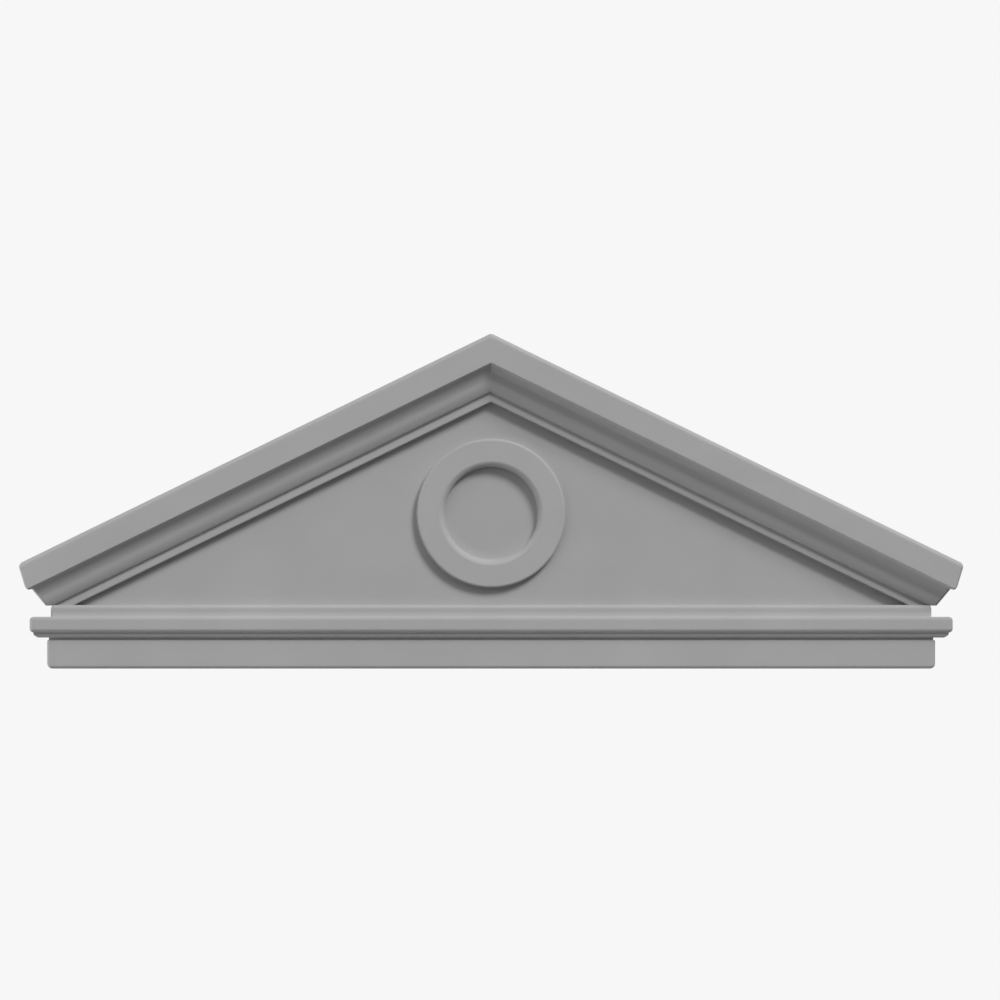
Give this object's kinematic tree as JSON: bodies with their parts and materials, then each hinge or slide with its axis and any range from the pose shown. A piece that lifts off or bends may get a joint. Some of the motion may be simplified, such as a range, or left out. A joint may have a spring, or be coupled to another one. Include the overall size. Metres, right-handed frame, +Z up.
{
  "type": "exterior pediment",
  "caption": "Low triangular pediment for over a door or window: raking cornice with a cyma, flat tympanum with a round recessed boss, level cornice below.",
  "frame": {"origin": "centre of the bounding box at the underside", "axes": "+X along the level cornice, +Y towards the wall behind the flat back, +Z up to the apex; the face looks along -Y"},
  "size_m": [1.5002, 0.0864, 0.5317],
  "materials": {
    "mineral_coat": "matte light-grey mineral coat with softly rounded arrises"
  },
  "bodies": {
    "root": {"pediment": "mineral_coat"}
  },
  "joints": []
}
